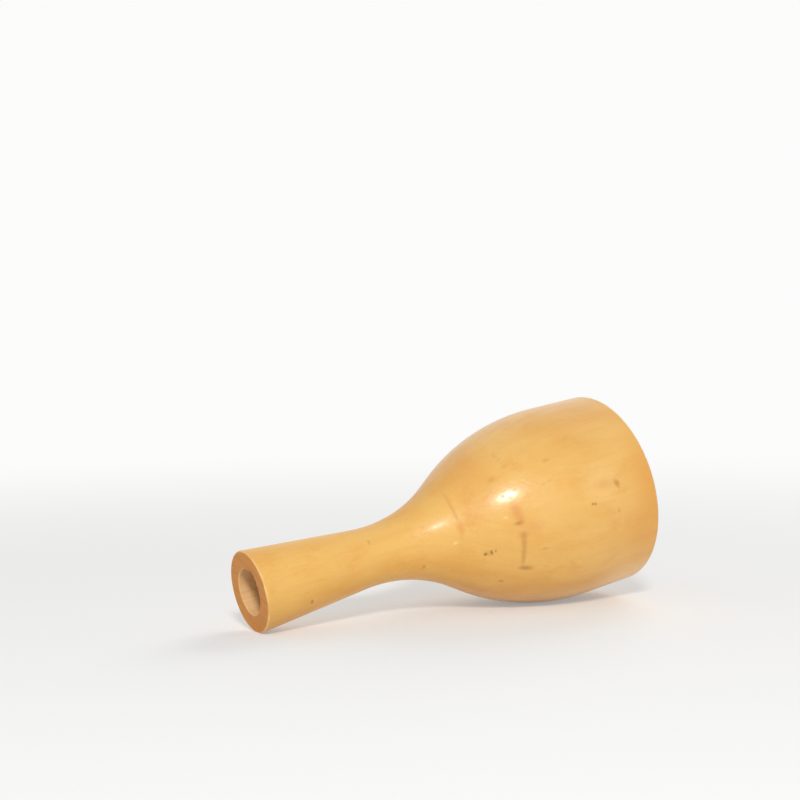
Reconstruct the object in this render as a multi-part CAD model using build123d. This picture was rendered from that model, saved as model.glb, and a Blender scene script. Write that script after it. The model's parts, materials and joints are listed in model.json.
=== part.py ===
from build123d import *
import os
from math import asin, atan2, cos, degrees, hypot, radians, sin, tan

# A turned wooden bird call that lies on its side, in millimetres and degrees.
# Every piece is worked out along the call's own axis, x from the mouth to the bell's rim, z up,
# and then laid down on the floor as the round body settles: on its mouth and on its shoulder.

# Outside of the turned body, given at the sharp corners that its curves round off
mouth_diameter = 13.85
neck_length = 29.3
neck_corner_diameter = 8.65
flare_length = 20.0
shoulder_corner_diameter = 34.8
bell_length = 22.1
rim_diameter = 34.2
flare_radius = 26.5
shoulder_radius = 39.0
mouth_edge_round = 0.3
rim_edge_round = 0.5

# Inside of the turned body
mouth_bore_diameter = 7.8
mouth_bore_depth = 14.0
mouth_bore_edge_round = 0.2
bore_step_length = 1.0
passage_diameter = 6.4
seat_diameter = 9.2
seat_depth = 10.0
seat_edge_round = 0.2
bell_wall = 3.3
bell_floor_setback = 3.9
bell_floor_margin = 0.6
rim_inner_round = 0.6

# Reed holder: a plug in the seat, a stem that reaches up the neck, a collar and a finger knob
plug_end_gap = 0.3
land_width = 1.2
land_clearance = 0.15
collar_lip = 1.15
collar_thickness = 2.0
collar_round = 0.6
knob_length = 7.0
knob_waist_diameter = 6.8
knob_bead_width = 3.2
knob_diameter = 8.6
knob_round = 1.1
knob_cove_round = 0.5
stem_length = 17.5
stem_clearance = 0.2
bed_height = 0.2
lay_angle = 3.2
channel_width = 2.6
channel_depth = 1.7
channel_end_wall = 2.0
channel_overlap = 1.0
exit_bore_diameter = 4.0
exit_bore_wall = 0.5
exit_flare = 0.7

# Cork lapping round the plug
cork_thickness = 0.7
cork_clearance = 0.05
cork_edge_round = 0.2

# Brass reed and the cork wedge that clamps it
reed_thickness = 0.2
reed_width = 4.6
reed_setback = 0.2
reed_tip_round = 1.0
reed_bend_gap = 0.05
bend_before_plug = 3.2
tail_length = 5.8
slot_clearance = 0.1
wedge_height = 1.6
wedge_taper = 2.0
wedge_proud = 1.5

# Radii of the round pieces
mouth_r = mouth_diameter / 2
neck_corner_r = neck_corner_diameter / 2
shoulder_corner_r = shoulder_corner_diameter / 2
rim_r = rim_diameter / 2
mouth_bore_r = mouth_bore_diameter / 2
passage_r = passage_diameter / 2
seat_r = seat_diameter / 2
land_r = seat_r - land_clearance
cork_r = seat_r - cork_clearance
lapping_r = cork_r - cork_thickness
collar_r = seat_r + collar_lip
stem_r = passage_r - stem_clearance
exit_r = exit_bore_diameter / 2

# Stations along the axis
shoulder_x = neck_length + flare_length
body_length = shoulder_x + bell_length
floor_x = shoulder_x - bell_floor_setback
seat_x = floor_x - seat_depth
plug_x = seat_x + plug_end_gap
lapping_start_x = plug_x + land_width
lapping_end_x = floor_x - land_width
collar_end_x = floor_x + collar_thickness
knob_end_x = collar_end_x + knob_length
stem_tip_x = plug_x - stem_length
bend_x = plug_x - bend_before_plug
tail_x = plug_x + tail_length
slot_end_x = tail_x + slot_clearance
exit_x = slot_end_x + exit_bore_wall

# Slopes of the outside, and the two big curves, eased alike where the flare is too short for them
neck_slope = atan2(neck_corner_r - mouth_r, neck_length)
flare_slope = atan2(shoulder_corner_r - neck_corner_r, flare_length)
bell_slope = atan2(rim_r - shoulder_corner_r, bell_length)
flare_side = hypot(flare_length, shoulder_corner_r - neck_corner_r)
flare_tangent = flare_radius * tan((flare_slope - neck_slope) / 2)
shoulder_tangent = shoulder_radius * tan((flare_slope - bell_slope) / 2)
curve_room = min(1.0, 0.98 * flare_side / (flare_tangent + shoulder_tangent))
flare_round = flare_radius * curve_room
shoulder_round = shoulder_radius * curve_room

# Inside wall of the bell: parallel to the outside, down to a flat floor that the collar sits on
bell_corner_r = shoulder_corner_r - bell_floor_setback * tan(bell_slope) - bell_wall
bell_floor_round = bell_corner_r - collar_r - bell_floor_margin

# Heights across the axis
bed_z = bed_height
reed_top_z = bed_z + reed_thickness


def resting_place():
    """Lays the call on the floor, centred, on its mouth edge and its shoulder"""
    edge_x = mouth_edge_round
    edge_r = mouth_r + edge_x * tan(neck_slope) - mouth_edge_round / cos(neck_slope)
    along = shoulder_tangent * curve_room
    arc_x = shoulder_x + along * cos(bell_slope) + shoulder_round * sin(bell_slope)
    arc_r = shoulder_corner_r + along * sin(bell_slope) - shoulder_round * cos(bell_slope)
    reach = hypot(arc_x - edge_x, arc_r - edge_r)
    tilt = atan2(arc_r - edge_r, arc_x - edge_x) + asin((shoulder_round - mouth_edge_round) / reach)
    lift = edge_r * cos(tilt) - edge_x * sin(tilt) + mouth_edge_round
    rim_x = body_length - rim_edge_round
    rim_edge_r = rim_r - rim_edge_round * tan(bell_slope) - rim_edge_round / cos(bell_slope)
    low_x = edge_x * cos(tilt) - edge_r * sin(tilt) - mouth_edge_round
    high_x = rim_x * cos(tilt) + rim_edge_r * sin(tilt) + rim_edge_round
    return Pos(-(low_x + high_x) / 2, 0, lift) * Rot(0, -degrees(tilt), 0)


def turned(corners, rounds):
    """Piece turned about the call's axis, from a closed half section with rounded corners"""
    return revolve(make_face(FilletPolyline(*corners, radius=rounds, close=True)), Axis.X)


def block(low_x, high_x, width, low_z, high_z):
    """Straight block, centred across the axis"""
    middle = Pos((low_x + high_x) / 2, 0, (low_z + high_z) / 2)
    return middle * Box(high_x - low_x, width, high_z - low_z)


def prism(corners, width):
    """Outline in the x-z plane, drawn out evenly to both sides of the axis"""
    face = Plane.XZ * make_face(Polyline(*corners, close=True))
    return extrude(face, amount=width / 2, both=True)


def rod(low_x, high_x, radius, z=0.0):
    """Round rod along the axis, or beside it at height z"""
    return Pos((low_x + high_x) / 2, 0, z) * Rot(0, 90, 0) * Cylinder(radius, high_x - low_x)


def wedge_roof_z(x):
    """Height of the slot's sloping roof, and of the wedge's back, at a place along the axis"""
    return reed_top_z + wedge_height - (x - plug_x) * tan(radians(wedge_taper))


def make_bell_body():
    """One turned piece: mouthpiece, neck, flare and bell, bored from the mouth and hollowed from the rim"""
    corners_and_rounds = [
        ((0, mouth_bore_r), mouth_bore_edge_round),
        ((0, mouth_r), mouth_edge_round),
        ((neck_length, neck_corner_r), flare_round),
        ((shoulder_x, shoulder_corner_r), shoulder_round),
        ((body_length, rim_r), rim_edge_round),
        ((body_length, rim_r - bell_wall), rim_inner_round),
        ((floor_x, bell_corner_r), bell_floor_round),
        ((floor_x, seat_r), seat_edge_round),
        ((seat_x, seat_r), 0),
        ((seat_x, passage_r), 0),
        ((mouth_bore_depth + bore_step_length, passage_r), 0),
        ((mouth_bore_depth, mouth_bore_r), 0),
    ]
    return turned(*zip(*corners_and_rounds))


def make_reed_holder():
    """Turned plug with a lapping groove, collar and knob; its stem is cut flat, slotted and channelled"""
    bead_x = knob_end_x - knob_bead_width
    corners_and_rounds = [
        ((stem_tip_x, 0), 0),
        ((stem_tip_x, stem_r), 0),
        ((plug_x, stem_r), 0),
        ((plug_x, land_r), 0),
        ((lapping_start_x, land_r), 0),
        ((lapping_start_x, lapping_r), 0),
        ((lapping_end_x, lapping_r), 0),
        ((lapping_end_x, land_r), 0),
        ((floor_x, land_r), 0),
        ((floor_x, collar_r), 0),
        ((collar_end_x, collar_r), collar_round),
        ((collar_end_x, knob_waist_diameter / 2), knob_cove_round),
        ((bead_x, knob_waist_diameter / 2), knob_cove_round),
        ((bead_x, knob_diameter / 2), knob_cove_round / 2),
        ((knob_end_x, knob_diameter / 2), knob_round),
        ((knob_end_x, 0), 0),
    ]
    holder = turned(*zip(*corners_and_rounds))

    # Flat bed for the reed, and the lay that falls away from the bend line to the tip
    past_tip_x = stem_tip_x - 1
    lay_drop = (bend_x - past_tip_x) * tan(radians(lay_angle))
    holder -= block(past_tip_x, plug_x, 2 * seat_diameter, bed_z, bed_z + seat_diameter)
    lay = [(bend_x, bed_z), (past_tip_x, bed_z - lay_drop), (past_tip_x, bed_z)]
    holder -= prism(lay, 2 * seat_diameter)

    # Slot in the plug for the reed's tail and the wedge
    slot_width = reed_width + 2 * slot_clearance
    slot = [
        (plug_x, bed_z),
        (slot_end_x, bed_z),
        (slot_end_x, wedge_roof_z(slot_end_x)),
        (plug_x, wedge_roof_z(plug_x)),
    ]
    holder -= prism(slot, slot_width)

    # Round-bottomed air channel under the reed, and the bore that takes it out through the knob
    channel_r = channel_width / 2
    channel_x = stem_tip_x + channel_end_wall
    channel_axis_z = bed_z - channel_depth + channel_r
    channel_end_x = exit_x + channel_overlap
    channel_floor_z = bed_z - channel_depth
    round_floor = block(channel_x, channel_end_x, channel_width, channel_floor_z, channel_axis_z)
    holder -= rod(channel_x, channel_end_x, channel_r, channel_axis_z) & round_floor
    holder -= block(channel_x, channel_end_x, channel_width, channel_axis_z, bed_z)
    flare_x = knob_end_x - exit_flare
    exit_bore = [
        (exit_x, 0),
        (exit_x, exit_r),
        (flare_x, exit_r),
        (knob_end_x, exit_r + exit_flare),
        (knob_end_x, 0),
    ]
    return holder - turned(exit_bore, 0)


def make_cork_sleeve():
    """Ring of sheet cork in the plug's lapping groove"""
    corners_and_rounds = [
        ((lapping_start_x, lapping_r), 0),
        ((lapping_start_x, cork_r), cork_edge_round),
        ((lapping_end_x, cork_r), cork_edge_round),
        ((lapping_end_x, lapping_r), 0),
    ]
    return turned(*zip(*corners_and_rounds))


def make_reed_root():
    """Clamped half of the brass strip: from the bend line to the end of the tail in the slot"""
    return block(bend_x + reed_bend_gap / 2, tail_x, reed_width, bed_z, reed_top_z)


def make_reed_tongue():
    """Free half of the brass strip: from the bend line to its rounded tip"""
    tip_x = stem_tip_x + reed_setback
    tongue = block(tip_x, bend_x - reed_bend_gap / 2, reed_width, bed_z, reed_top_z)
    tip_corners = tongue.edges().filter_by(Axis.Z).group_by(Axis.X)[0]
    return fillet(tip_corners, reed_tip_round)


def make_reed_wedge():
    """Tapered cork block that presses the reed's tail on the bed"""
    front_x = plug_x - wedge_proud
    corners = [
        (front_x, reed_top_z),
        (tail_x, reed_top_z),
        (tail_x, wedge_roof_z(tail_x)),
        (front_x, wedge_roof_z(front_x)),
    ]
    return prism(corners, reed_width)


pieces = {
    "bell_body": make_bell_body(),
    "reed_holder": make_reed_holder(),
    "cork_sleeve": make_cork_sleeve(),
    "reed_root": make_reed_root(),
    "reed_tongue": make_reed_tongue(),
    "reed_wedge": make_reed_wedge(),
}

os.makedirs("parts", exist_ok=True)
place = resting_place()
for name, piece in pieces.items():
    export_step(place * piece, f"parts/{name}.step")
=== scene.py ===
# A turned boxwood bird call that lies on its side: the varnished body with its bell, and the reed
# insert that pulls out of it. Sizes are given in millimetres along the call's axis, from the mouth.
import json
import math
import random

import bmesh
import bpy
from mathutils import Matrix, Vector, noise


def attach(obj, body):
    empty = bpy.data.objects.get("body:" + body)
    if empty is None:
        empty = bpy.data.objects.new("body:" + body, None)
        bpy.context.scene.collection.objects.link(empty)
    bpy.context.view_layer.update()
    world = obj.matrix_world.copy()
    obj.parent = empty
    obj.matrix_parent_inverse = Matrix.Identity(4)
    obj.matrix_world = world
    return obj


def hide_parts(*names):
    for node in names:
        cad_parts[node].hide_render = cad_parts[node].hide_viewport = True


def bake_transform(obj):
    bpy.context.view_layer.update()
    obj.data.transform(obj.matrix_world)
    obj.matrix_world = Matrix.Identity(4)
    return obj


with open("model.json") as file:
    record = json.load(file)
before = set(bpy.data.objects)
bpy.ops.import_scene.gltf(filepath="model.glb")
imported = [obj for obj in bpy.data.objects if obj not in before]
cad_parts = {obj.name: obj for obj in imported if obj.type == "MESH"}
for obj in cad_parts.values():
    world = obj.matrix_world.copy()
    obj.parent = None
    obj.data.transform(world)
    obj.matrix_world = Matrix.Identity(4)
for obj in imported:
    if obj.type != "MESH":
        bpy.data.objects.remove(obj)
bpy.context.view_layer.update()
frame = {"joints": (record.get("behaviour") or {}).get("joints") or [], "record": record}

# The turned body
# One blank of boxwood, turned to a thin neck that swells into a bell, bored from the mouth and
# hollowed from the rim. The outside is sanded and varnished, the bores and the bell's inside are bare.
mm = 0.001
mouth_radius = 6.925
neck_length = 29.3
neck_corner_radius = 4.325
flare_round = 26.5
shoulder_place = 49.3
shoulder_corner_radius = 17.4
shoulder_round = 39.0
body_length = 71.4
rim_radius = 17.1
bell_wall = 3.3
bell_floor_place = 45.4
bell_corner_radius = 14.153
bell_floor_round = 7.803
seat_place = 35.4
seat_radius = 4.6
passage_radius = 3.2
mouth_bore_radius = 3.9
mouth_bore_depth = 14.0
mouth_bore_edge = 0.2
drill_cone = 1.0
mouth_edge_round = 0.3
rim_edge_round = 0.5
bell_edge_round = 0.6
seat_edge_round = 0.2
sharp_angle = 0.6

joints = {joint["name"]: joint for joint in frame["joints"]}
mounts = {mount["name"]: mount for mount in frame["record"]["mounts"]}
call_axis = Vector(joints["insert_slide"]["axis"])
tilt = math.atan2(call_axis.z, call_axis.x)
bore_middle = (mouth_bore_edge + mouth_bore_depth) / 2 * mm
mouth_centre = Vector(mounts["mouth_bore"]["pos_m"]) - call_axis * bore_middle
lay_down = Matrix.Translation(mouth_centre) @ Matrix.Rotation(-tilt, 4, "Y")


def rounded_section(corners, closed=True, widest_turn=0.16):
    """Points of a turned section: a corner is (along, radius, rounding, step, bare, end grain, worn),
    where worn pales an edge, partly as rubbed wear and partly as a painted highlight
    """
    count = len(corners)
    tangents = []
    turns = []
    for i in range(count):
        here = Vector(corners[i][:2])
        way_in = (here - Vector(corners[i - 1][:2])).normalized()
        way_out = (Vector(corners[(i + 1) % count][:2]) - here).normalized()
        turn = math.atan2(way_in.x * way_out.y - way_in.y * way_out.x, way_in.dot(way_out))
        turns.append(turn)
        tangents.append(corners[i][2] * math.tan(abs(turn) / 2))
    points = []
    for i in range(count):
        along, radius, rounding, step, bare, end_grain, worn = corners[i]
        here = Vector((along, radius))
        way_in = (here - Vector(corners[i - 1][:2])).normalized()
        ahead = Vector(corners[(i + 1) % count][:2])
        way_out = (ahead - here).normalized()
        bare_before, end_before = corners[i - 1][4:6]
        if rounding:
            middle = here + (way_out - way_in).normalized() * rounding / math.cos(turns[i] / 2)
            arm = here - way_in * tangents[i] - middle
            swing = abs(turns[i])
            pieces = max(4, math.ceil(swing * rounding / step), math.ceil(swing / widest_turn))
            for k in range(pieces + 1):
                share = k / pieces
                spot = middle + Matrix.Rotation(share * turns[i], 2) @ arm
                bare_here = bare_before + (bare - bare_before) * share
                end_here = end_before + (end_grain - end_before) * share
                points.append((*spot, bare_here, end_here, worn * math.sin(math.pi * share)))
        else:
            points.append((*here, bare, end_grain, 0.0))
        if i == count - 1 and not closed:
            break
        start = here + way_out * tangents[i]
        finish = ahead - way_out * tangents[(i + 1) % count]
        pieces = max(1, math.ceil((finish - start).length / step))
        for k in range(1, pieces):
            points.append((*start.lerp(finish, k / pieces), bare, end_grain, 0.0))
    return points + points[:1] if closed else points


def start_tree(kind, name, inputs, outputs):
    """New node tree, with its named inputs and outputs"""
    tree = bpy.data.node_groups.new(name, kind)
    for label, sort in inputs:
        tree.interface.new_socket(label, in_out="INPUT", socket_type="NodeSocket" + sort)
    for label, sort in outputs:
        tree.interface.new_socket(label, in_out="OUTPUT", socket_type="NodeSocket" + sort)
    given = tree.nodes.new("NodeGroupInput").outputs
    return tree, given, tree.nodes.new("NodeGroupOutput").inputs


def put(tree, kind, feeds=None, **settings):
    """Adds a node with its settings, and feeds its inputs from other sockets or with plain values"""
    node = tree.nodes.new(kind)
    for label, value in settings.items():
        setattr(node, label, value)
    for label, value in (feeds or {}).items():
        if isinstance(value, bpy.types.NodeSocket):
            tree.links.new(value, node.inputs[label])
        else:
            node.inputs[label].default_value = value
    return node


def sums(tree, operation, *values):
    """One step of arithmetic"""
    return put(tree, "ShaderNodeMath", dict(enumerate(values)), operation=operation).outputs[0]


def vectors(tree, operation, *values):
    """One step of arithmetic on vectors"""
    return put(tree, "ShaderNodeVectorMath", dict(enumerate(values)), operation=operation).outputs[0]


# Lathe: carries the section round the axis, cuts a fine spiral of tool marks where the wood is bare,
# roughens the surface by its grain, and lays the piece down in its place
lathe, given, result = start_tree(
    "GeometryNodeTree",
    "Lathe",
    [
        ("Section", "Geometry"),
        ("Steps Around", "Int"),
        ("Tool Mark Pitch", "Float"),
        ("Tool Mark Depth", "Float"),
        ("Grain Size", "Float"),
        ("Grain Depth", "Float"),
        ("Sharp Angle", "Float"),
        ("Tilt", "Float"),
        ("Mouth Centre", "Vector"),
        ("Finish", "Material"),
    ],
    [("Piece", "Geometry")],
)
size = put(lathe, "GeometryNodeAttributeDomainSize", {"Geometry": given["Section"]}, component="MESH")
row = put(lathe, "FunctionNodeIntegerMath", {0: given["Steps Around"], 1: 1}, operation="ADD").outputs[0]
rolled = put(
    lathe, "GeometryNodeMeshGrid", {"Vertices X": size.outputs["Point Count"], "Vertices Y": row}
)
index = put(lathe, "GeometryNodeInputIndex").outputs[0]
station = put(lathe, "FunctionNodeIntegerMath", {0: index, 1: row}, operation="DIVIDE_FLOOR").outputs[0]
step_round = put(lathe, "FunctionNodeIntegerMath", {0: index, 1: row}, operation="MODULO").outputs[0]
turn_share = sums(lathe, "DIVIDE", step_round, given["Steps Around"])
angle = sums(lathe, "MULTIPLY", turn_share, math.tau)


def from_section(value, kind):
    """Reads a value of the section at each point's station"""
    feeds = {"Geometry": given["Section"], "Value": value, "Index": station}
    return put(lathe, "GeometryNodeSampleIndex", feeds, data_type=kind, domain="POINT").outputs[0]


def section_attribute(label):
    """Reads a named attribute of the section at each point's station"""
    named = put(lathe, "GeometryNodeInputNamedAttribute", {"Name": label}, data_type="FLOAT")
    return from_section(named.outputs["Attribute"], "FLOAT")


place = put(lathe, "GeometryNodeInputPosition").outputs[0]
drawn = put(lathe, "ShaderNodeSeparateXYZ", {0: from_section(place, "FLOAT_VECTOR")}).outputs
bareness = section_attribute("bare")
cut = sums(lathe, "DIVIDE", drawn["X"], given["Tool Mark Pitch"])
cut = sums(lathe, "SINE", sums(lathe, "MULTIPLY_ADD", cut, math.tau, angle))
cut = sums(lathe, "MULTIPLY", sums(lathe, "MULTIPLY", cut, bareness), given["Tool Mark Depth"])
reach = sums(lathe, "ADD", drawn["Y"], cut)
across = sums(lathe, "MULTIPLY", reach, sums(lathe, "SINE", angle))
upward = sums(lathe, "MULTIPLY", reach, sums(lathe, "COSINE", angle))
round_place = put(lathe, "ShaderNodeCombineXYZ", {0: drawn["X"], 1: across, 2: upward}).outputs[0]
feeds = {"Geometry": rolled.outputs["Mesh"], "Position": round_place}
shape = put(lathe, "GeometryNodeSetPosition", feeds)
for label in ("bare", "end_grain", "worn"):
    feeds = {"Geometry": shape.outputs[0], "Name": label, "Value": section_attribute(label)}
    shape = put(lathe, "GeometryNodeStoreNamedAttribute", feeds, data_type="FLOAT", domain="POINT")
shape = put(lathe, "GeometryNodeMergeByDistance", {"Geometry": shape.outputs[0], "Distance": 0.002 * mm})
finer = sums(lathe, "DIVIDE", 1.0, given["Grain Size"])
feeds = {0: place, "Scale": finer}
rough_place = put(lathe, "ShaderNodeVectorMath", feeds, operation="SCALE").outputs[0]
grain = put(lathe, "ShaderNodeTexNoise", {"Vector": rough_place, "Scale": 1.0, "Detail": 3.0}).outputs[0]
sunk = sums(lathe, "MULTIPLY", sums(lathe, "MULTIPLY", grain, given["Grain Depth"]), -1.0)
facing = put(lathe, "GeometryNodeInputNormal").outputs[0]
offset = put(lathe, "ShaderNodeVectorMath", {0: facing, "Scale": sunk}, operation="SCALE").outputs[0]
shape = put(lathe, "GeometryNodeSetPosition", {"Geometry": shape.outputs[0], "Offset": offset})
lean_back = sums(lathe, "MULTIPLY", given["Tilt"], -1.0)
leaning = put(lathe, "ShaderNodeCombineXYZ", {1: lean_back}).outputs[0]
feeds = {"Geometry": shape.outputs[0], "Translation": given["Mouth Centre"], "Rotation": leaning}
shape = put(lathe, "GeometryNodeTransform", feeds)
bend = put(lathe, "GeometryNodeInputMeshEdgeAngle").outputs["Unsigned Angle"]
sharp = sums(lathe, "GREATER_THAN", bend, given["Sharp Angle"])
shape = put(lathe, "GeometryNodeSetShadeSmooth", {0: shape.outputs[0], 2: True}, domain="FACE")
feeds = {0: shape.outputs[0], 1: sharp, 2: False}
shape = put(lathe, "GeometryNodeSetShadeSmooth", feeds, domain="EDGE")
shape = put(lathe, "GeometryNodeRealizeInstances", {0: shape.outputs[0]})
shape = put(lathe, "GeometryNodeSetMaterial", {0: shape.outputs[0], "Material": given["Finish"]})
lathe.links.new(shape.outputs[0], result["Piece"])


def settle(piece):
    """Leaves a piece as the plain mesh that its modifiers make"""
    graph = bpy.context.evaluated_depsgraph_get()
    made = bpy.data.meshes.new_from_object(piece.evaluated_get(graph), depsgraph=graph)
    piece.modifiers.clear()
    piece.data = made
    return piece


def turn_piece(name, section, finish, steps=256, pitch=0.5, depth=0.0, grain_size=1.0, grain_depth=0.0):
    """Turns a piece on the lathe from its section, and leaves it as a plain mesh"""
    outline = bpy.data.meshes.new(name)
    spots = [(point[0] * mm, point[1] * mm, 0) for point in section]
    outline.from_pydata(spots, [(i, i + 1) for i in range(len(spots) - 1)], [])
    for label, column in (("bare", 2), ("end_grain", 3), ("worn", 4)):
        values = outline.attributes.new(label, "FLOAT", "POINT").data
        values.foreach_set("value", [point[column] for point in section])
    piece = bpy.data.objects.new(name, outline)
    bpy.context.scene.collection.objects.link(piece)
    turning = piece.modifiers.new("turning", "NODES")
    turning.node_group = lathe
    chosen = {
        "Steps Around": steps,
        "Tool Mark Pitch": pitch * mm,
        "Tool Mark Depth": depth * mm,
        "Grain Size": grain_size * mm,
        "Grain Depth": grain_depth * mm,
        "Sharp Angle": sharp_angle,
        "Tilt": tilt,
        "Mouth Centre": mouth_centre,
        "Finish": finish,
    }
    for item in lathe.interface.items_tree:
        if item.name in chosen:
            turning[item.identifier] = chosen[item.name]
    return settle(piece)


def paint(red, green, blue):
    """Colour as it is seen on a screen, 0 to 255, as the light that it sends back"""
    parts = [part / 255 for part in (red, green, blue)]
    return (*(((p + 0.055) / 1.055) ** 2.4 if p > 0.04 else p / 12.92 for p in parts), 1.0)


def start_material(name):
    """New material: its tree, its surface, and the place on the call in millimetres from the mouth"""
    material = bpy.data.materials.new(name)
    material.use_nodes = True
    tree = material.node_tree
    surface = tree.nodes["Principled BSDF"]
    spot = put(tree, "ShaderNodeTexCoord").outputs["Object"]
    moved = (Matrix.Rotation(tilt, 3, "Y") @ mouth_centre) * (-1 / mm)
    feeds = {"Vector": spot, "Location": moved, "Rotation": (0, tilt, 0), "Scale": [1 / mm] * 3}
    return material, tree, surface, put(tree, "ShaderNodeMapping", feeds).outputs[0]


def ramp(tree, value, low, high, bottom=0.0, top=1.0):
    """Eases a value from bottom to top as it goes from low to high"""
    feeds = {"Value": value, "From Min": low, "From Max": high, "To Min": bottom, "To Max": top}
    return put(tree, "ShaderNodeMapRange", feeds, interpolation_type="SMOOTHSTEP").outputs[0]


def tint(tree, share, under, over):
    """Lays one colour over another by a share"""
    # Of the sockets of a Mix node, 6 and 7 take colours and 2 gives one
    return put(tree, "ShaderNodeMix", {0: share, 6: under, 7: over}, data_type="RGBA").outputs[2]


def grainy(tree, spot, stretch, detail=3.0, roughness=0.6):
    """Noise that is stretched by a scale for each direction"""
    moved = vectors(tree, "MULTIPLY", spot, stretch)
    feeds = {"Vector": moved, "Scale": 1.0, "Detail": detail, "Roughness": roughness}
    return put(tree, "ShaderNodeTexNoise", feeds)


# Figure of the boxwood: narrow growth rings about a pith beside the axis, fine fibres along it, short
# pores, and slow clouds and smaller blotches of tone
figure, given, result = start_tree(
    "ShaderNodeTree",
    "Boxwood figure",
    [("Place", "Vector"), ("Pith", "Vector"), ("Ring Width", "Float")],
    [("Ring", "Float"), ("Fibre", "Float"), ("Pore", "Float"), ("Cloud", "Float"), ("Blotch", "Float")],
)
slow = grainy(figure, given["Place"], (0.04, 0.12, 0.12), 2.0, 0.5)
sway = vectors(figure, "MULTIPLY_ADD", slow.outputs["Color"], (3.0, 3.0, 3.0), (-1.5, -1.5, -1.5))
swayed = vectors(figure, "ADD", given["Place"], sway)
from_pith = vectors(figure, "SUBTRACT", swayed, given["Pith"])
from_pith = vectors(figure, "MULTIPLY", from_pith, (0.0, 1.0, 1.0))
length = put(figure, "ShaderNodeVectorMath", {0: from_pith}, operation="LENGTH").outputs["Value"]
feeds = {"W": sums(figure, "DIVIDE", length, given["Ring Width"]), "Scale": 1.0, "Detail": 2.0}
ring = put(figure, "ShaderNodeTexNoise", feeds, noise_dimensions="1D").outputs[0]
fibre = grainy(figure, swayed, (0.09, 3.2, 3.2), 5.0, 0.65).outputs[0]
feeds = {"Vector": vectors(figure, "MULTIPLY", swayed, (0.4, 3.6, 3.6)), "Scale": 1.0}
pore = ramp(figure, put(figure, "ShaderNodeTexVoronoi", feeds).outputs["Distance"], 0.22, 0.08)
blotch = grainy(figure, given["Place"], (0.16, 0.26, 0.26), 4.0, 0.6).outputs[0]
for value, socket in zip((ring, fibre, pore, slow.outputs[0], blotch), result):
    figure.links.new(value, socket)

# Blemish: a soft-edged patch about a centre, with its own reach in each direction
blemish, given, result = start_tree(
    "ShaderNodeTree",
    "Blemish",
    [
        ("Place", "Vector"),
        ("Centre", "Vector"),
        ("Reach", "Vector"),
        ("Core", "Float"),
        ("Strength", "Float"),
    ],
    [("Mask", "Float")],
)
apart = vectors(blemish, "SUBTRACT", given["Place"], given["Centre"])
apart = vectors(blemish, "DIVIDE", apart, given["Reach"])
apart = put(blemish, "ShaderNodeVectorMath", {0: apart}, operation="LENGTH").outputs["Value"]
mask = ramp(blemish, apart, 1.0, given["Core"])
blemish.links.new(sums(blemish, "MULTIPLY", mask, given["Strength"]), result["Mask"])


def use_group(tree, group, feeds):
    """Puts a group of nodes in a material"""
    return put(tree, "ShaderNodeGroup", feeds, node_tree=group).outputs


# The last column, worn, pales the edges of the mouth, the rim and the bell: partly rubbed wear, partly a
# painted highlight along the edge rounds
body_section = rounded_section(
    [
        (0, mouth_bore_radius, mouth_bore_edge, 0.25, 0.2, 1.0, 0.3),
        (0, mouth_radius, mouth_edge_round, 0.5, 0.0, 0.0, 1.0),
        (neck_length, neck_corner_radius, flare_round, 0.5, 0.0, 0.0, 0.0),
        (shoulder_place, shoulder_corner_radius, shoulder_round, 0.5, 0.0, 0.0, 0.0),
        (body_length, rim_radius, rim_edge_round, 0.25, 0.2, 1.0, 0.5),
        (body_length, rim_radius - bell_wall, bell_edge_round, 0.5, 0.8, 0.0, 0.5),
        (bell_floor_place, bell_corner_radius, bell_floor_round, 0.5, 1.0, 1.0, 0.0),
        (bell_floor_place, seat_radius, seat_edge_round, 1.0, 1.0, 0.0, 0.0),
        (seat_place, seat_radius, 0, 0.5, 1.0, 1.0, 0.0),
        (seat_place, passage_radius, 0, 1.0, 1.0, 0.0, 0.0),
        (mouth_bore_depth + drill_cone, passage_radius, 0, 0.5, 1.0, 0.5, 0.0),
        (mouth_bore_depth, mouth_bore_radius, 0, 0.3, 1.0, 0.0, 0.0),
    ]
)

dull_neck_end = 33.0
glossy_bell_start = 42.0
honey = paint(229, 172, 85)
straw = paint(236, 186, 102)
amber = paint(223, 154, 66)
end_brown = paint(203, 119, 47)
end_tan = paint(216, 143, 70)
raw_wood = paint(232, 194, 144)
fresh_wood = paint(246, 222, 176)
bark = paint(74, 46, 22)
smoke = paint(176, 116, 54)
ginger = paint(166, 102, 24)
rust = paint(220, 140, 72)
chalk = paint(252, 214, 148)

varnished, tree, surface, spot = start_material("varnished boxwood")
grain = use_group(tree, figure, {"Place": spot, "Pith": (0, 9, -24), "Ring Width": 1.1})
tone = tint(tree, ramp(tree, grain["Cloud"], 0.35, 0.65), honey, straw)
tone = tint(tree, ramp(tree, grain["Blotch"], 0.5, 0.72, 0.0, 0.4), tone, amber)
tone = tint(tree, ramp(tree, grain["Blotch"], 0.5, 0.3, 0.0, 0.5), tone, straw)
tone = tint(tree, ramp(tree, grain["Ring"], 0.4, 0.75, 0.0, 0.1), tone, amber)
tone = tint(tree, ramp(tree, grain["Fibre"], 0.5, 0.8, 0.0, 0.4), tone, amber)
tone = tint(tree, ramp(tree, grain["Fibre"], 0.5, 0.25, 0.0, 0.3), tone, straw)
tone = tint(tree, sums(tree, "MULTIPLY", grain["Pore"], 0.12), tone, smoke)
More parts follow.
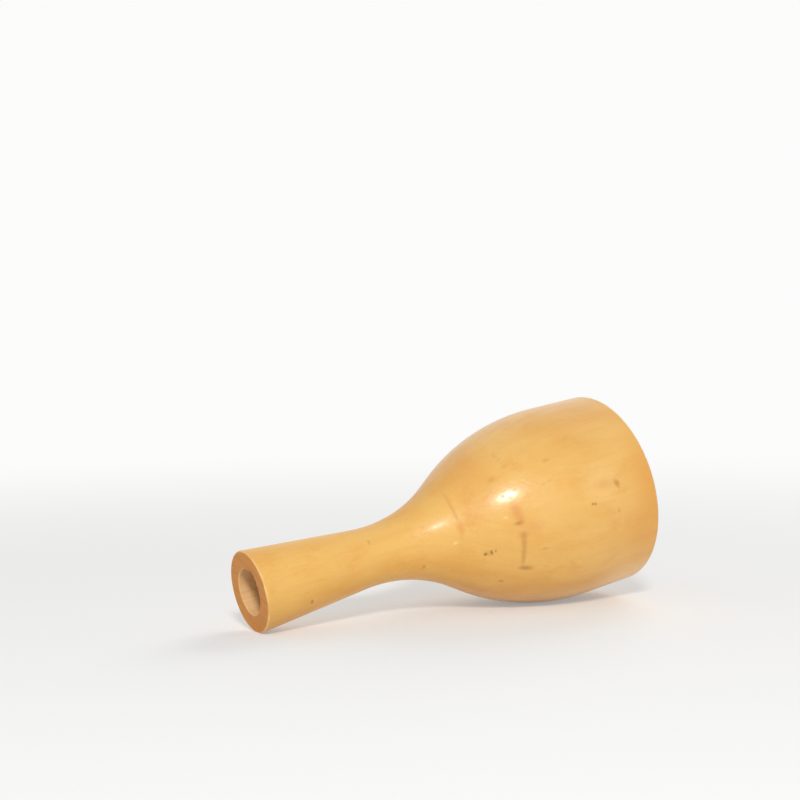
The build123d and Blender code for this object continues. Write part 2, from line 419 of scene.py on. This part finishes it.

# Knots, stains, dents and flecks, with a painted shade and painted highlights among them: place along
# the axis, degrees round from the top, reach along and around, colour, strength and the share of the
# reach that is solid
marks = [
    # Slow changes of tone: warmer by the rim, a pink patch that starts at an arc; over the flare's upper
    # side a warmer painted shade, and beside the main highlight a paler painted sheen
    (70.5, -74, 5.5, 11.0, amber, 0.6, 0.0),
    (71.0, -98, 9.0, 13.0, amber, 0.55, 0.0),
    # Painted sheen: a paler patch beside the main highlight, standing for its soft halo
    (50.5, -77, 5.5, 6.0, chalk, 0.22, 0.0),
    # Painted shade: a warmer, darker patch over the flare's upper side
    (41.0, -30, 7.0, 7.0, amber, 0.45, 0.0),
    (54.0, -80, 6.0, 7.0, straw, 0.5, 0.0),
    (38.6, -62, 2.8, 6.5, rust, 0.15, 0.0),
    (33.9, -58, 2.6, 7.5, straw, 0.6, 0.6),
    (36.3, -38, 0.5, 2.6, rust, 0.4, 0.0),
    (36.1, -50, 0.45, 2.0, smoke, 0.25, 0.0),
    (36.1, -60, 0.5, 1.3, smoke, 0.35, 0.0),
    (36.15, -75, 0.9, 2.2, rust, 0.5, 0.0),
    # Three dark specks
    (39.1, -105.3, 0.55, 0.45, bark, 0.75, 0.1),
    (39.4, -104.5, 1.5, 1.0, smoke, 0.25, 0.0),
    (39.9, -103.8, 0.32, 0.65, bark, 0.7, 0.1),
    (40.5, -102.7, 0.3, 0.5, smoke, 0.6, 0.0),
    # Pink stain that runs into a grey one, with a dent across each end
    (44.5, -72.5, 1.5, 1.8, rust, 0.4, 0.0),
    (44.65, -77.0, 1.4, 2.0, rust, 0.45, 0.0),
    (45.0, -82.0, 1.3, 1.8, rust, 0.42, 0.0),
    (46.6, -89.0, 3.0, 2.0, rust, 0.3, 0.0),
    (44.4, -83.8, 3.2, 0.6, smoke, 0.65, 0.0),
    (44.9, -92.4, 1.9, 0.9, smoke, 0.35, 0.0),
    (44.9, -96.5, 0.85, 2.4, smoke, 0.36, 0.0),
    (44.75, -104.0, 0.7, 2.6, smoke, 0.38, 0.0),
    (44.65, -111.5, 0.6, 2.2, smoke, 0.3, 0.0),
    (44.7, -118.3, 1.6, 0.7, bark, 0.22, 0.0),
    (45.4, -118.3, 3.2, 0.8, smoke, 0.62, 0.0),
    (42.0, -133.0, 2.0, 0.5, smoke, 0.5, 0.0),
    (48.3, -104.4, 2.4, 0.4, smoke, 0.35, 0.0),
    # Knot by the rim, with its pale ring, cloud, fleck and dots
    (60.6, -73.0, 5.6, 4.8, chalk, 0.3, 0.1),
    (60.9, -74.8, 3.4, 2.0, amber, 0.32, 0.0),
    (60.4, -74.4, 2.6, 1.1, smoke, 0.1, 0.0),
    (63.3, -75.6, 0.9, 1.0, ginger, 0.3, 0.0),
    (63.5, -76.5, 0.8, 0.9, ginger, 0.42, 0.0),
    (63.6, -78.8, 0.5, 1.0, ginger, 0.2, 0.0),
    (57.65, -84.0, 0.35, 0.4, ginger, 0.85, 0.1),
    (58.15, -84.3, 0.35, 0.4, ginger, 0.8, 0.1),
    (62.7, -91.9, 0.5, 0.8, ginger, 0.3, 0.0),
    # Flecks and short bright scratches, and one painted glint in the main highlight
    (43.1, -46.2, 1.2, 0.8, ginger, 0.27, 0.0),
    (45.8, -30.0, 0.7, 1.0, ginger, 0.2, 0.0),
    (45.9, -34.6, 0.9, 0.6, ginger, 0.14, 0.0),
    (45.9, -42.2, 1.5, 0.6, ginger, 0.17, 0.0),
    (52.5, -50.4, 1.1, 0.6, ginger, 0.22, 0.0),
    (51.4, -63.4, 0.9, 0.4, ginger, 0.2, 0.0),
    (50.2, -64.2, 1.1, 0.4, ginger, 0.17, 0.0),
    (42.9, -77.6, 1.2, 0.4, chalk, 0.6, 0.0),
    # Painted highlight: a glint of reflected light in the main highlight
    (45.3, -62.5, 1.2, 0.4, chalk, 0.5, 0.0),
    (34.9, -90.4, 1.0, 0.4, chalk, 0.6, 0.0),
    (8.3, -121.6, 0.45, 0.7, ginger, 0.75, 0.0),
    (21.0, -49.7, 0.4, 0.8, ginger, 0.3, 0.0),
    (29.85, -122.2, 0.4, 0.8, smoke, 0.5, 0.0),
]
chance = random.Random(11)
for _ in range(14):
    where = (chance.uniform(6, 68), chance.uniform(-10, 195))
    marks.append((*where, chance.uniform(0.25, 0.9), chance.uniform(0.15, 0.35), smoke, 0.6, 0.1))
jitter = grainy(tree, spot, (1.6, 1.6, 1.6), 2.0).outputs["Color"]
jitter = vectors(tree, "MULTIPLY_ADD", jitter, (0.4, 0.4, 0.4), (-0.2, -0.2, -0.2))
frayed = vectors(tree, "ADD", spot, jitter)
outer = [point for point in body_section if point[2] == point[3] == 0.0]


def mark_mask(along, around, reach_along, reach_around, strength, core):
    """Mask of one mark on the outside of the body"""
    radius = min(outer, key=lambda point: abs(point[0] - along))[1]
    way = math.radians(around)
    feeds = {
        "Place": frayed,
        "Centre": (along, radius * math.sin(way), radius * math.cos(way)),
        "Reach": (reach_along, reach_around, reach_around),
        "Core": core,
        "Strength": strength,
    }
    return use_group(tree, blemish, feeds)["Mask"]


for along, around, reach_along, reach_around, colour, strength, core in marks:
    mask = mark_mask(along, around, reach_along, reach_around, strength, core)
    tone = tint(tree, mask, tone, colour)

bare = put(tree, "ShaderNodeAttribute", attribute_name="bare").outputs["Fac"]
ends = put(tree, "ShaderNodeAttribute", attribute_name="end_grain").outputs["Fac"]
along = put(tree, "ShaderNodeSeparateXYZ", {0: spot}).outputs["X"]
inside = tint(tree, ramp(tree, along, 20.0, 45.0, 0.0, 0.85), raw_wood, fresh_wood)
inside = tint(tree, ramp(tree, grain["Fibre"], 0.35, 0.75, 0.0, 0.5), inside, amber)
tone = tint(tree, bare, tone, inside)
end_tone = tint(tree, ramp(tree, grain["Fibre"], 0.3, 0.7), end_brown, end_tan)
end_tone = tint(tree, ramp(tree, grain["Ring"], 0.45, 0.7, 0.0, 0.45), end_tone, smoke)
soaked = sums(tree, "MULTIPLY_ADD", bare, -0.8, 0.95)
tone = tint(tree, sums(tree, "MULTIPLY", ends, soaked), tone, end_tone)
# Pale edges where worn is set: partly rubbed wood, partly a painted highlight of light caught on the
# edge rounds
edges = put(tree, "ShaderNodeAttribute", attribute_name="worn").outputs["Fac"]
edges = sums(tree, "MULTIPLY", edges, ramp(tree, grain["Blotch"], 0.35, 0.6, 0.2, 0.7))
tone = tint(tree, edges, tone, chalk)
tree.links.new(tone, surface.inputs["Base Color"])
worn = ramp(tree, along, glossy_bell_start, dull_neck_end, 0.0, 0.05)
gloss = sums(tree, "ADD", ramp(tree, grain["Fibre"], 0.2, 0.8, 0.28, 0.4), worn)
gloss = sums(tree, "MAXIMUM", gloss, sums(tree, "MULTIPLY", sums(tree, "MAXIMUM", bare, ends), 0.7))
tree.links.new(gloss, surface.inputs["Roughness"])
coat = ramp(tree, along, dull_neck_end, glossy_bell_start, 0.12, 0.42)
coat = sums(tree, "MULTIPLY", coat, ramp(tree, sums(tree, "MAXIMUM", bare, ends), 1.0, 0.0))

# Scuffs that dull the varnish, four by the main highlight and the others anywhere: place along the axis,
# degrees round from the top, and reach along and around
scuffs = [
    (43.4, -62.2, 0.6, 0.45),
    (44.3, -65.0, 0.9, 0.35),
    (42.5, -59.5, 0.8, 0.3),
    (45.6, -61.0, 0.5, 0.5),
]
for _ in range(10):
    where = (chance.uniform(6, 68), chance.uniform(-180, 180))
    scuffs.append((*where, chance.uniform(0.3, 1.2), chance.uniform(0.25, 0.8)))
for scuff in scuffs:
    kept = sums(tree, "SUBTRACT", 1.0, mark_mask(*scuff, 0.85, 0.2))
    coat = sums(tree, "MULTIPLY", coat, kept)
tree.links.new(coat, surface.inputs["Coat Weight"])
surface.inputs["Coat Roughness"].default_value = 0.18
surface.inputs["Specular IOR Level"].default_value = 0.3
peel = grainy(tree, spot, (0.7, 1.1, 1.1), 2.0).outputs[0]
height = sums(tree, "MULTIPLY_ADD", grain["Fibre"], 0.5, sums(tree, "MULTIPLY", peel, 1.7))
feeds = {"Strength": 0.35, "Distance": 0.1 * mm, "Height": height}
tree.links.new(put(tree, "ShaderNodeBump", feeds).outputs[0], surface.inputs["Normal"])

body = turn_piece("turned_body", body_section, varnished, steps=256, pitch=0.45, depth=0.012)

# Wear at the mouth: the lip of the bore is a little uneven, and chipped on one side. A chip is given by
# its degrees round from the top, its width and its depth
worn_depth = 1.6
worn_width = 1.2
lip_swing = 0.12
lip_waves = 2.2
lip_seed = 3.7
chips = [(-24, 0.5, 0.3), (-33, 0.7, 0.4), (-44, 0.6, 0.35), (-58, 0.45, 0.2), (-74, 0.4, 0.15)]
to_axis = lay_down.inverted()
for vertex in body.data.vertices:
    along, across, upward = to_axis @ vertex.co / mm
    radius = math.hypot(across, upward)
    if along > worn_depth or radius > mouth_bore_radius + worn_width:
        continue
    around = math.atan2(across, upward)
    near_lip = max(0.0, 1.0 - math.hypot(along, radius - mouth_bore_radius) / worn_width)
    uneven = noise.noise((lip_waves * math.sin(around), lip_waves * math.cos(around), lip_seed))
    sunk = 0.0
    for degrees, width, depth in chips:
        aside = radius * (around - math.radians(degrees))
        from_chip = math.hypot(aside, along, radius - mouth_bore_radius) / width
        sunk = max(sunk, depth * max(0.0, 1.0 - from_chip))
    spread = 1.0 + lip_swing * near_lip * uneven / radius
    moved = Vector((along + sunk, across * spread, upward * spread))
    vertex.co = lay_down @ (moved * mm)
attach(body, "call")
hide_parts("bell_body")

# The reed holder
# A plug of plain boxwood, turned with a collar, a finger knob and a bore through it. Its stem is then
# cut flat for the reed, slotted for the wedge and channelled to the bore. It pushes in from the bell.
plug_place = 35.7
plug_end = 45.4
stem_tip = 18.2
stem_radius = 3.0
land_radius = 4.45
lapping_radius = 3.85
lapping_start = 36.9
lapping_end = 44.2
collar_radius = 5.75
collar_end = 47.4
knob_end = 54.4
knob_radius = 4.3
knob_waist_radius = 3.4
bead_place = 51.2
tip_break = 0.15
land_break = 0.12
groove_break = 0.06
collar_break = 0.15
collar_round = 0.6
waist_round = 0.5
bead_round = 0.25
knob_round = 1.1
exit_place = 42.1
exit_radius = 2.0
exit_flare = 0.7
bed_height = 0.2
bend_place = 32.5
lay_slope = math.tan(math.radians(3.2))
slot_end = 41.6
slot_half_width = 2.4
reed_thickness = 0.2
wedge_height = 1.6
wedge_slope = math.tan(math.radians(2.0))
channel_start = 20.2
channel_end = 43.1
channel_half_width = 1.3
channel_middle = -0.2
channel_points = 16
past_face = 0.004
past_stock = 9
handled_start = 46.5
handled_full = 50.0
pale_wood = paint(232, 194, 134)
fibre_tan = paint(208, 154, 88)
ring_tan = paint(203, 148, 84)
handled_brown = paint(186, 126, 68)


def roof_height(along):
    """Height of the slot's sloping roof, and of the wedge's back"""
    return bed_height + reed_thickness + wedge_height - (along - plug_place) * wedge_slope


def drawn_out(name, outline, low, high, lengthwise=False):
    """Solid drawn out from an outline: across the call, or lengthwise"""
    spots = []
    for end in (low, high):
        for first, height in outline:
            spot = (end, first, height) if lengthwise else (first, end, height)
            spots.append(lay_down @ (Vector(spot) * mm))
    count = len(outline)
    faces = [tuple(range(count)), tuple(range(count, 2 * count))]
    for k in range(count):
        after = (k + 1) % count
        faces.append((k, after, count + after, count + k))
    solid = bpy.data.meshes.new(name)
    solid.from_pydata(spots, [], faces)
    shaped = bmesh.new()
    shaped.from_mesh(solid)
    bmesh.ops.recalc_face_normals(shaped, faces=shaped.faces)
    shaped.to_mesh(solid)
    shaped.free()
    piece = bpy.data.objects.new(name, solid)
    bpy.context.scene.collection.objects.link(piece)
    return piece


plain, tree, surface, spot = start_material("plain boxwood")
grain = use_group(tree, figure, {"Place": spot, "Pith": (0, -14, 5), "Ring Width": 0.7})
tone = tint(tree, ramp(tree, grain["Fibre"], 0.3, 0.75), pale_wood, fibre_tan)
tone = tint(tree, ramp(tree, grain["Ring"], 0.45, 0.7, 0.0, 0.4), tone, ring_tan)
tone = tint(tree, sums(tree, "MULTIPLY", grain["Pore"], 0.3), tone, smoke)
grime = grainy(tree, spot, (0.5, 0.5, 0.5), 4.0).outputs[0]
along = put(tree, "ShaderNodeSeparateXYZ", {0: spot}).outputs["X"]
handled = ramp(tree, along, handled_start, handled_full, 0.0, 0.5)
handled = sums(tree, "MULTIPLY", handled, ramp(tree, grime, 0.35, 0.65))
tone = tint(tree, handled, tone, handled_brown)
tree.links.new(tone, surface.inputs["Base Color"])
tree.links.new(ramp(tree, grain["Fibre"], 0.2, 0.8, 0.5, 0.66), surface.inputs["Roughness"])
feeds = {"Strength": 0.4, "Distance": 0.12 * mm, "Height": grain["Fibre"]}
tree.links.new(put(tree, "ShaderNodeBump", feeds).outputs[0], surface.inputs["Normal"])

holder_section = rounded_section(
    [
        (stem_tip, 0, 0, 0.5, 0, 0, 0),
        (stem_tip, stem_radius, tip_break, 0.6, 1, 0, 0),
        (plug_place, stem_radius, 0, 0.5, 0, 0, 0),
        (plug_place, land_radius, land_break, 0.5, 1, 0, 0),
        (lapping_start, land_radius, groove_break, 0.5, 0, 0, 0),
        (lapping_start, lapping_radius, 0, 0.6, 1, 0, 0),
        (lapping_end, lapping_radius, 0, 0.5, 0, 0, 0),
        (lapping_end, land_radius, groove_break, 0.5, 1, 0, 0),
        (plug_end, land_radius, 0, 0.5, 0, 0, 0),
        (plug_end, collar_radius, collar_break, 0.4, 1, 0, 0),
        (collar_end, collar_radius, collar_round, 0.3, 0, 0, 0),
        (collar_end, knob_waist_radius, waist_round, 0.3, 1, 0, 0),
        (bead_place, knob_waist_radius, waist_round, 0.3, 0, 0, 0),
        (bead_place, knob_radius, bead_round, 0.3, 1, 0, 0),
        (knob_end, knob_radius, knob_round, 0.3, 0, 0, 0),
        (knob_end, exit_radius + exit_flare, 0, 0.3, 0, 0, 0),
        (knob_end - exit_flare, exit_radius, 0, 0.5, 0, 0, 0),
        (exit_place, exit_radius, 0, 2.5, 0, 0, 0),
        (exit_place, 0, 0, 0.5, 0, 0, 0),
    ],
    closed=False,
)
holder = turn_piece("turned_holder", holder_section, plain, steps=160, pitch=0.4, depth=0.01)

# The cutters reach a little past each flush face, so that no two faces lie in one plane
past_tip = stem_tip - 1
bed_end = plug_place + past_face
lay_end = bed_height - (bend_place - past_tip) * lay_slope
bed = [(past_tip, lay_end), (bend_place, bed_height), (bed_end, bed_height)]
bed += [(bed_end, past_stock), (past_tip, past_stock)]
before_slot = plug_place - 0.4
slot_floor = bed_height - past_face
slot = [(before_slot, slot_floor), (slot_end, slot_floor)]
slot += [(slot_end, roof_height(slot_end)), (before_slot, roof_height(before_slot))]
channel_top = bed_height + past_face
channel = [(-channel_half_width, channel_top)]
for k in range(channel_points):
    way = math.pi * k / (channel_points - 1)
    dip = channel_middle - channel_half_width * math.sin(way)
    channel.append((-channel_half_width * math.cos(way), dip))
channel.append((channel_half_width, channel_top))
cutters = [
    drawn_out("bed cut", bed, -past_stock, past_stock),
    drawn_out("slot cut", slot, -slot_half_width, slot_half_width),
    drawn_out("channel cut", channel, channel_start, channel_end, lengthwise=True),
]
for cutter in cutters:
    cutting = holder.modifiers.new(cutter.name, "BOOLEAN")
    cutting.operation = "DIFFERENCE"
    cutting.solver = "EXACT"
    cutting.object = cutter
settle(holder)
for cutter in cutters:
    bpy.data.objects.remove(cutter)
holder.data.materials.clear()
holder.data.materials.append(plain)
holder.data.set_sharp_from_angle(angle=sharp_angle)
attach(holder, "insert")
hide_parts("reed_holder")

# The cork lapping
# A strip of sheet cork, glued round the groove of the plug. It grips the seat in the body and seals it.
cork_radius = 4.55
cork_edge_round = 0.2
cork_tan = paint(204, 156, 104)
cork_brown = paint(176, 122, 74)
cork_pale = paint(222, 180, 130)
cork_seam = paint(140, 90, 50)
cork_pit = paint(96, 58, 32)
cork, tree, surface, spot = start_material("sheet cork")
cells = put(tree, "ShaderNodeTexVoronoi", {"Vector": spot, "Scale": 2.6, "Randomness": 1.0})
speckle = put(tree, "ShaderNodeSeparateColor", {0: cells.outputs["Color"]}).outputs[0]
crumbs = grainy(tree, spot, (1.4, 1.4, 1.4), 4.0, 0.7).outputs[0]
pits = ramp(tree, grainy(tree, spot, (0.9, 2.2, 2.2), 3.0).outputs[0], 0.6, 0.7)
tone = tint(tree, speckle, cork_tan, cork_brown)
tone = tint(tree, ramp(tree, crumbs, 0.4, 0.75, 0.0, 0.6), tone, cork_pale)
tone = tint(tree, ramp(tree, cells.outputs["Distance"], 0.25, 0.5, 0.0, 0.35), tone, cork_seam)
tone = tint(tree, sums(tree, "MULTIPLY", pits, 0.8), tone, cork_pit)
tree.links.new(tone, surface.inputs["Base Color"])
surface.inputs["Roughness"].default_value = 0.85
surface.inputs["Specular IOR Level"].default_value = 0.25
height = sums(tree, "SUBTRACT", crumbs, pits)
feeds = {"Strength": 0.6, "Distance": 0.2 * mm, "Height": height}
tree.links.new(put(tree, "ShaderNodeBump", feeds).outputs[0], surface.inputs["Normal"])

lapping_section = rounded_section(
    [
        (lapping_start, lapping_radius, 0, 0.3, 0, 0, 0),
        (lapping_start, cork_radius, cork_edge_round, 0.2, 0, 0, 0),
        (lapping_end, cork_radius, cork_edge_round, 0.3, 0, 0, 0),
        (lapping_end, lapping_radius, 0, 0.6, 0, 0, 0),
    ]
)
lapping = turn_piece("cork_lapping", lapping_section, cork, steps=192, grain_size=0.45, grain_depth=0.07)
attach(lapping, "insert")
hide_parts("cork_sleeve")

# The reed
# One strip of rolled brass, its tip cut with round corners. The wedge clamps its tail in the slot, and
# the tongue in front of the bend line beats on the lay.
reed_tip = 18.4
reed_tail = 41.5
reed_half_width = 2.3
tip_round = 1.0
edge_break = 0.03
tip_steps = 10
steps_to_tail = 90
brass_bright = paint(236, 200, 118)
brass_dull = paint(214, 170, 88)
brass_stain = paint(168, 116, 58)
brass, tree, surface, spot = start_material("rolled brass")
rolled_lines = grainy(tree, spot, (0.12, 9.0, 9.0), 4.0, 0.7).outputs[0]
stains = grainy(tree, spot, (0.35, 0.5, 0.5), 4.0, 0.6).outputs[0]
tone = tint(tree, ramp(tree, rolled_lines, 0.3, 0.7), brass_bright, brass_dull)
tone = tint(tree, ramp(tree, stains, 0.52, 0.75, 0.0, 0.6), tone, brass_stain)
tree.links.new(tone, surface.inputs["Base Color"])
surface.inputs["Metallic"].default_value = 1.0
tree.links.new(ramp(tree, stains, 0.3, 0.8, 0.24, 0.46), surface.inputs["Roughness"])
feeds = {"Strength": 0.2, "Distance": 0.03 * mm, "Height": rolled_lines}
tree.links.new(put(tree, "ShaderNodeBump", feeds).outputs[0], surface.inputs["Normal"])

stations = []
for k in range(tip_steps):
    stations.append(reed_tip + tip_round * (1 - math.cos(math.pi / 2 * k / tip_steps)))
first = reed_tip + tip_round
stations += [first + (reed_tail - first) * k / steps_to_tail for k in range(steps_to_tail + 1)]
low = bed_height
high = bed_height + reed_thickness
spots = []
faces = []
for along in stations:
    inset = tip_round - min(along - reed_tip, tip_round)
    half = reed_half_width - tip_round + math.sqrt(tip_round**2 - inset**2)
    rim = [(-half, low + edge_break), (-half, high - edge_break), (-half + edge_break, high)]
    rim += [(half - edge_break, high), (half, high - edge_break), (half, low + edge_break)]
    rim += [(half - edge_break, low), (-half + edge_break, low)]
    spots += [lay_down @ (Vector((along, across, height)) * mm) for across, height in rim]
count = len(rim)
for here in range(0, len(spots) - count, count):
    ahead = here + count
    for k in range(count):
        after = (k + 1) % count
        faces.append((here + k, ahead + k, ahead + after, here + after))
faces.append(tuple(range(count)))
faces.append(tuple(range(len(spots) - 1, len(spots) - 1 - count, -1)))
strip = bpy.data.meshes.new("brass_reed")
strip.from_pydata(spots, [], faces)
strip.materials.append(brass)
reed = bpy.data.objects.new("brass_reed", strip)
bpy.context.scene.collection.objects.link(reed)
strip.set_sharp_from_angle(angle=0.4)
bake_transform(reed)
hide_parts("reed_root", "reed_tongue")

# The wedge
# A block of cork, cut to a slight taper and pressed into the slot over the reed's tail.
wedge_front = plug_place - 1.5
wedge_edge_break = 0.1
pit_depth = 0.05
pits_per_metre = 2500
under = bed_height + reed_thickness
wedge_side = [(wedge_front, under), (reed_tail, under)]
wedge_side += [(reed_tail, roof_height(reed_tail)), (wedge_front, roof_height(wedge_front))]
wedge = drawn_out("cork_wedge", wedge_side, -reed_half_width, reed_half_width)
shaped = bmesh.new()
shaped.from_mesh(wedge.data)
bmesh.ops.bevel(shaped, geom=shaped.edges[:], offset=wedge_edge_break * mm, segments=2, affect="EDGES")
bmesh.ops.triangulate(shaped, faces=shaped.faces[:])
bmesh.ops.subdivide_edges(shaped, edges=shaped.edges[:], cuts=7, use_grid_fill=True)
shaped.normal_update()
for vertex in shaped.verts:
    pitted = noise.fractal(vertex.co * pits_per_metre, 0.8, 2.0, 4)
    vertex.co -= vertex.normal * max(0.0, pitted) * pit_depth * mm
shaped.to_mesh(wedge.data)
shaped.free()
wedge.data.materials.append(cork)
wedge.data.set_sharp_from_angle(angle=0.9)
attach(wedge, "insert")
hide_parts("reed_wedge")

# The floor, the light and the camera
# A plain pale floor under an even sky, a small lamp above the camera as in the photo, a wide weak one
# that lights the bell's open side and the back without a glint of its own, and the photo's own view.
white = (0.97, 0.97, 0.965, 1)
far = 4


def seen_clearly(tree):
    """One where the eye sees a surface, straight on or in polished metal or glass"""
    path = put(tree, "ShaderNodeLightPath").outputs
    mirrored = sums(tree, "MAXIMUM", path["Is Glossy Ray"], path["Is Transmission Ray"])
    return sums(tree, "MAXIMUM", path["Is Camera Ray"], mirrored)


floor_mesh = bpy.data.meshes.new("floor")
corners = [(-far, -far, 0), (far, -far, 0), (far, far, 0), (-far, far, 0)]
floor_mesh.from_pydata(corners, [], [(0, 1, 2, 3)])
floor = bpy.data.objects.new("floor", floor_mesh)
bpy.context.scene.collection.objects.link(floor)
paper = bpy.data.materials.new("pale floor")
paper.use_nodes = True
tree = paper.node_tree
surface = tree.nodes["Principled BSDF"]
surface.inputs["Base Color"].default_value = (0.9, 0.9, 0.89, 1)
surface.inputs["Roughness"].default_value = 0.9
surface.inputs["Specular IOR Level"].default_value = 0.1
spot = put(tree, "ShaderNodeTexCoord").outputs["Object"]
away = put(tree, "ShaderNodeVectorMath", {0: spot}, operation="LENGTH").outputs["Value"]
share = sums(tree, "MULTIPLY", ramp(tree, away, 0.04, 0.4, 0.3, 1.0), seen_clearly(tree))
glow = put(tree, "ShaderNodeEmission", {"Color": white, "Strength": 1.0}).outputs[0]
mixed = put(tree, "ShaderNodeMixShader", {0: share, 1: surface.outputs[0], 2: glow}).outputs[0]
tree.links.new(mixed, tree.nodes["Material Output"].inputs["Surface"])
floor_mesh.materials.append(paper)

world = bpy.data.worlds.new("even sky")
bpy.context.scene.world = world
world.use_nodes = True
tree = world.node_tree
sky = tree.nodes["Background"]
sky.inputs["Color"].default_value = (0.42, 0.42, 0.42, 1)
backdrop = put(tree, "ShaderNodeBackground", {"Color": white}).outputs[0]
feeds = {0: seen_clearly(tree), 1: sky.outputs[0], 2: backdrop}
mixed = put(tree, "ShaderNodeMixShader", feeds).outputs[0]
tree.links.new(mixed, tree.nodes["World Output"].inputs["Surface"])

middle = Vector((0, 0, 0.018))

# Each lamp: its way from the middle of the call, distance, width and power
for name, way, distance, width, power in (
    ("lamp", (-0.397, -0.745, 0.535), 0.6, 0.1, 1.98),
    ("fill", (0.72, 0.46, 0.52), 0.9, 0.6, 3.2),
):
    lamp_way = Vector(way).normalized()
    light = bpy.data.lights.new(name, "AREA")
    light.shape = "DISK"
    light.size = width
    light.energy = power
    lamp = bpy.data.objects.new(name, light)
    lamp.location = middle + lamp_way * distance
    lamp.rotation_euler = lamp_way.to_track_quat("Z", "Y").to_euler()
    lamp.visible_glossy = name == "lamp"
    bpy.context.scene.collection.objects.link(lamp)

camera_data = bpy.data.cameras.new("camera")
camera_data.sensor_width = 36
camera_data.lens = 72.033
camera_data.clip_start = 0.01
camera = bpy.data.objects.new("camera", camera_data)
camera_place = Vector((-0.14083, -0.2375, 0.04754))
heading = math.radians(-29.337)
looking_down = math.radians(2.2155)
leaning = math.radians(-0.946)
turned_to = Matrix.Rotation(heading, 4, "Z") @ Matrix.Rotation(math.pi / 2 - looking_down, 4, "X")
turned_to = turned_to @ Matrix.Rotation(leaning, 4, "Z")
camera.matrix_world = Matrix.Translation(camera_place) @ turned_to
bpy.context.scene.collection.objects.link(camera)
bpy.context.scene.camera = camera
bpy.context.scene.view_settings.view_transform = "Standard"
